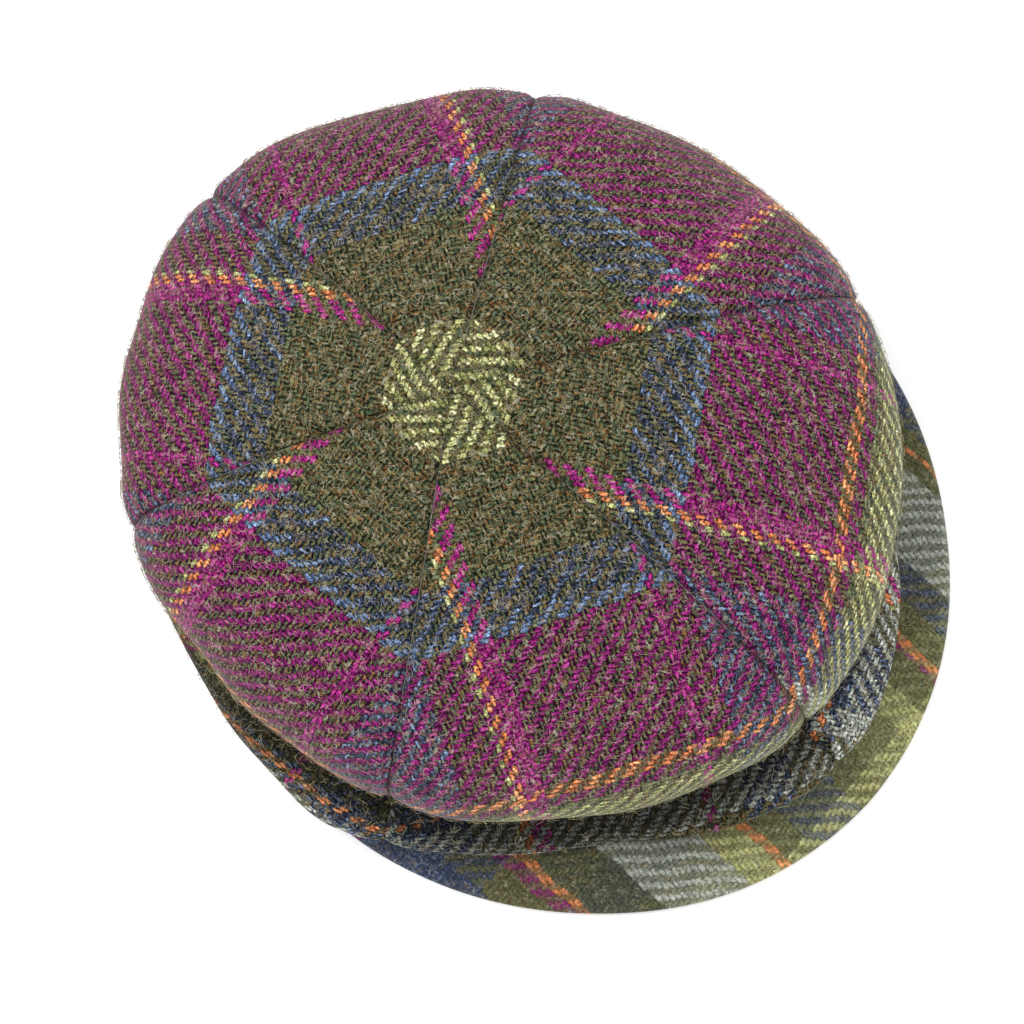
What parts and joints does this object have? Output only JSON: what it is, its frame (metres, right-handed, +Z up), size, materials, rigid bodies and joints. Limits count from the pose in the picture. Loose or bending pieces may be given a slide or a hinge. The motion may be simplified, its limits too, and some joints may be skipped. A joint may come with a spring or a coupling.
{
  "type": "panelled cap with soft peak",
  "caption": "Soft panelled cap in checked tweed with a full crown and a padded peak, resting on its head band.",
  "frame": {"origin": "middle of the bounding box at floor height, where the band and the peak's edge rest", "axes": "+Z up, peak toward -Y, wearer's left toward +X"},
  "size_m": [0.2502, 0.2902, 0.1072],
  "materials": {
    "crown_panel_front_right": "checked woollen tweed, plum, olive and blue",
    "crown_panel_right": "checked woollen tweed, plum, olive and blue",
    "crown_panel_back_right": "checked woollen tweed, plum, olive and blue",
    "crown_panel_back_left": "checked woollen tweed, plum, olive and blue",
    "crown_panel_left": "checked woollen tweed, plum, olive and blue",
    "crown_panel_front_left": "checked woollen tweed, plum, olive and blue",
    "head_band": "plain olive woollen cloth",
    "peak": "checked woollen tweed, olive, grey-blue and teal"
  },
  "bodies": {
    "root": {"crown_panel_front_right": "crown_panel_front_right", "crown_panel_right": "crown_panel_right", "crown_panel_back_right": "crown_panel_back_right", "crown_panel_back_left": "crown_panel_back_left", "crown_panel_left": "crown_panel_left", "crown_panel_front_left": "crown_panel_front_left", "head_band": "head_band", "peak": "peak"}
  },
  "joints": []
}
